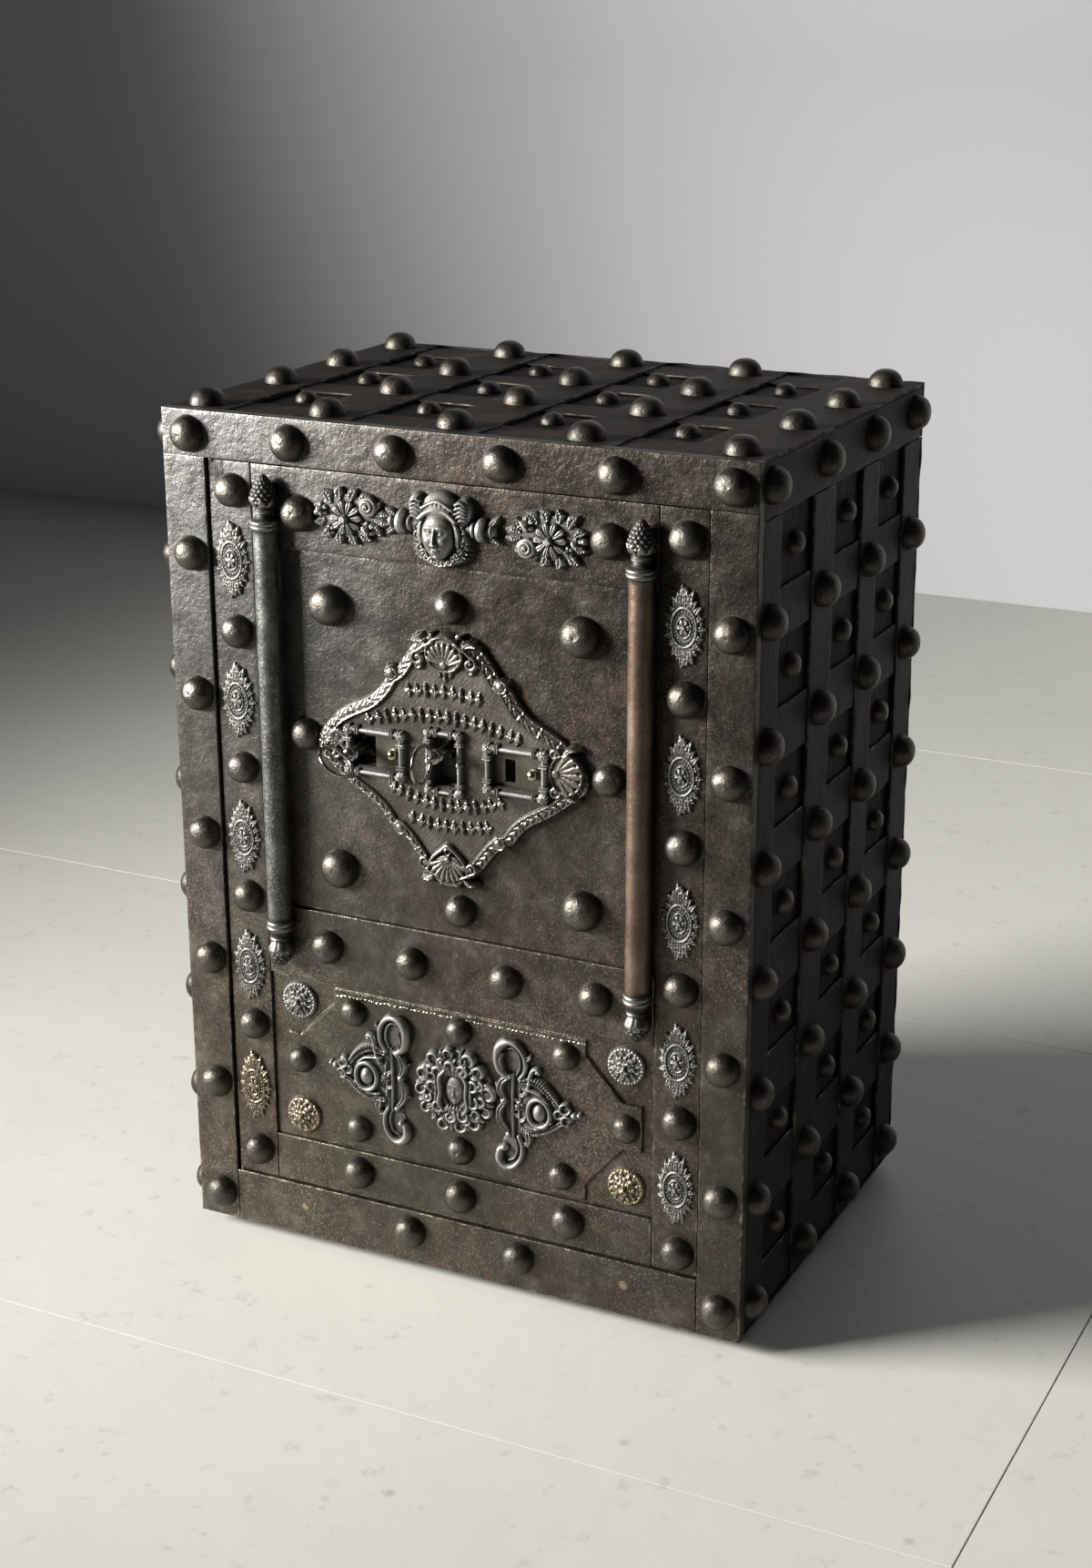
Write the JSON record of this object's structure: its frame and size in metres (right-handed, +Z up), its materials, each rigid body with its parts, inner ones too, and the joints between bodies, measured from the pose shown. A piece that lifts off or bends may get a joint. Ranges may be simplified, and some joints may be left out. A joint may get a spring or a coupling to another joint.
{
  "type": "iron strongbox",
  "caption": "Upright riveted iron strongbox with domed studs on strapwork, hinged door, lozenge lock cartouche, keys in the locks, side columns and cast ornaments.",
  "frame": {"origin": "middle of the footprint, on the floor plane under the bottom studs", "axes": "+Z up, the door faces -Y, +X to the right as one faces the door"},
  "size_m": [0.572, 0.466, 0.786],
  "materials": {
    "oak": "old brown oak, waxed and dusty",
    "lining_iron": "sheet iron in worn red-brown paint",
    "sheet_iron": "dark patinated sheet iron with rusty freckles",
    "strap_iron": "dark waxed wrought-iron strap, edges rubbed paler",
    "front_iron": "polished and waxed iron, brown-olive patina, verdigris round some studs",
    "cast_ornament": "cast relief, dark in the hollows and rubbed silvery on the high points",
    "rubbed_ornament": "cast relief rubbed to golden brown",
    "dark_column": "bronze turned dark green-grey",
    "copper_column": "bronze rubbed to copper brown",
    "cover_brass": "dull old brass, greenish",
    "key_steel": "polished steel gone grey",
    "lock_steel": "filed steel, oiled"
  },
  "bodies": {
    "box": {"back_plate": "sheet_iron", "back_strapwork": "strap_iron", "bottom_plate": "sheet_iron", "bottom_strapwork": "strap_iron", "frame_bottom_rail": "front_iron", "frame_left_stile": "front_iron", "frame_right_stile": "front_iron", "frame_top_rail": "front_iron", "iron_lining": "lining_iron", "left_side_plate": "sheet_iron", "left_side_strapwork": "strap_iron", "oak_carcass": "oak", "right_side_plate": "sheet_iron", "right_side_strapwork": "strap_iron", "shelf_board": "oak", "shelf_ledge_left": "sheet_iron", "shelf_ledge_right": "sheet_iron", "strike_plate": "lock_steel", "top_plate": "sheet_iron", "top_strapwork": "strap_iron"},
    "door": {"door_back_plate": "sheet_iron", "door_bottom_strap": "front_iron", "door_centre_plate": "front_iron", "door_core": "oak", "door_left_strap": "front_iron", "door_lower_overlay": "front_iron", "door_lower_plate": "front_iron", "door_middle_strap": "front_iron", "door_right_strap": "front_iron", "door_top_strap": "front_iron", "flower_spray_left": "cast_ornament", "flower_spray_right": "cast_ornament", "head_ornament": "cast_ornament", "keyhole_frame_centre": "cast_ornament", "keyhole_frame_left": "cast_ornament", "keyhole_frame_right": "cast_ornament", "left_column": "dark_column", "lion_medallion_1": "cast_ornament", "lion_medallion_2": "cast_ornament", "lion_medallion_3": "rubbed_ornament", "lion_medallion_4": "rubbed_ornament", "lock_cartouche": "cast_ornament", "lock_front_plate": "lock_steel", "lock_rear_plate": "lock_steel", "lower_pivot": "lock_steel", "mask_cartouche": "cast_ornament", "right_column": "copper_column", "rocaille_left": "cast_ornament", "rocaille_right": "cast_ornament", "upper_pivot": "lock_steel"},
    "barrel_left": {"lock_barrel_left": "lock_steel"},
    "bolt_left": {"bolt_left": "lock_steel"},
    "barrel_centre": {"lock_barrel_centre": "lock_steel"},
    "bolt_centre": {"bolt_centre": "lock_steel"},
    "barrel_right": {"lock_barrel_right": "lock_steel"},
    "bolt_right": {"bolt_right": "lock_steel"},
    "key_left": {"key_left": "key_steel"},
    "key_centre": {"key_centre": "key_steel"},
    "cover_left": {"sliding_cover_left": "cover_brass"},
    "cover_right": {"sliding_cover_right": "cover_brass"}
  },
  "joints": [
    {"name": "door_hinge", "type": "hinge", "parent": "box", "child": "door", "pos_m": [-0.226, -0.168, 0.392], "axis": [0, 0, -1], "range_deg": [0, 90]},
    {"name": "barrel_turn_left", "type": "hinge", "parent": "door", "child": "barrel_left", "pos_m": [-0.084, -0.143, 0.4955], "axis": [0, -1, 0], "range_deg": [-90, 0]},
    {"name": "bolt_slide_left", "type": "slide", "parent": "door", "child": "bolt_left", "axis": [-1, 0, 0], "range_m": [-0.024, 0]},
    {"name": "barrel_turn_centre", "type": "hinge", "parent": "door", "child": "barrel_centre", "pos_m": [-0.0025, -0.143, 0.505], "axis": [0, -1, 0], "range_deg": [-90, 0]},
    {"name": "bolt_slide_centre", "type": "slide", "parent": "door", "child": "bolt_centre", "axis": [-1, 0, 0], "range_m": [-0.024, 0]},
    {"name": "barrel_turn_right", "type": "hinge", "parent": "door", "child": "barrel_right", "pos_m": [0.056, -0.143, 0.4945], "axis": [0, -1, 0], "range_deg": [-90, 0]},
    {"name": "bolt_slide_right", "type": "slide", "parent": "door", "child": "bolt_right", "axis": [-1, 0, 0], "range_m": [-0.024, 0]},
    {"name": "key_pull_left", "type": "slide", "parent": "barrel_left", "child": "key_left", "axis": [0, -1, 0], "range_m": [0, 0.065]},
    {"name": "key_pull_centre", "type": "slide", "parent": "barrel_centre", "child": "key_centre", "axis": [0, -1, 0], "range_m": [0, 0.065]},
    {"name": "cover_slide_left", "type": "slide", "parent": "door", "child": "cover_left", "axis": [-1, 0, 0], "range_m": [0, 0.007]},
    {"name": "cover_slide_right", "type": "slide", "parent": "door", "child": "cover_right", "axis": [-1, 0, 0], "range_m": [0, 0.012]}
  ],
  "couplings": [
    {"joint": "barrel_turn_left", "follows": "bolt_slide_left", "rad_per_m": 65.449},
    {"joint": "barrel_turn_centre", "follows": "bolt_slide_centre", "rad_per_m": 65.449},
    {"joint": "barrel_turn_right", "follows": "bolt_slide_right", "rad_per_m": 65.449}
  ]
}
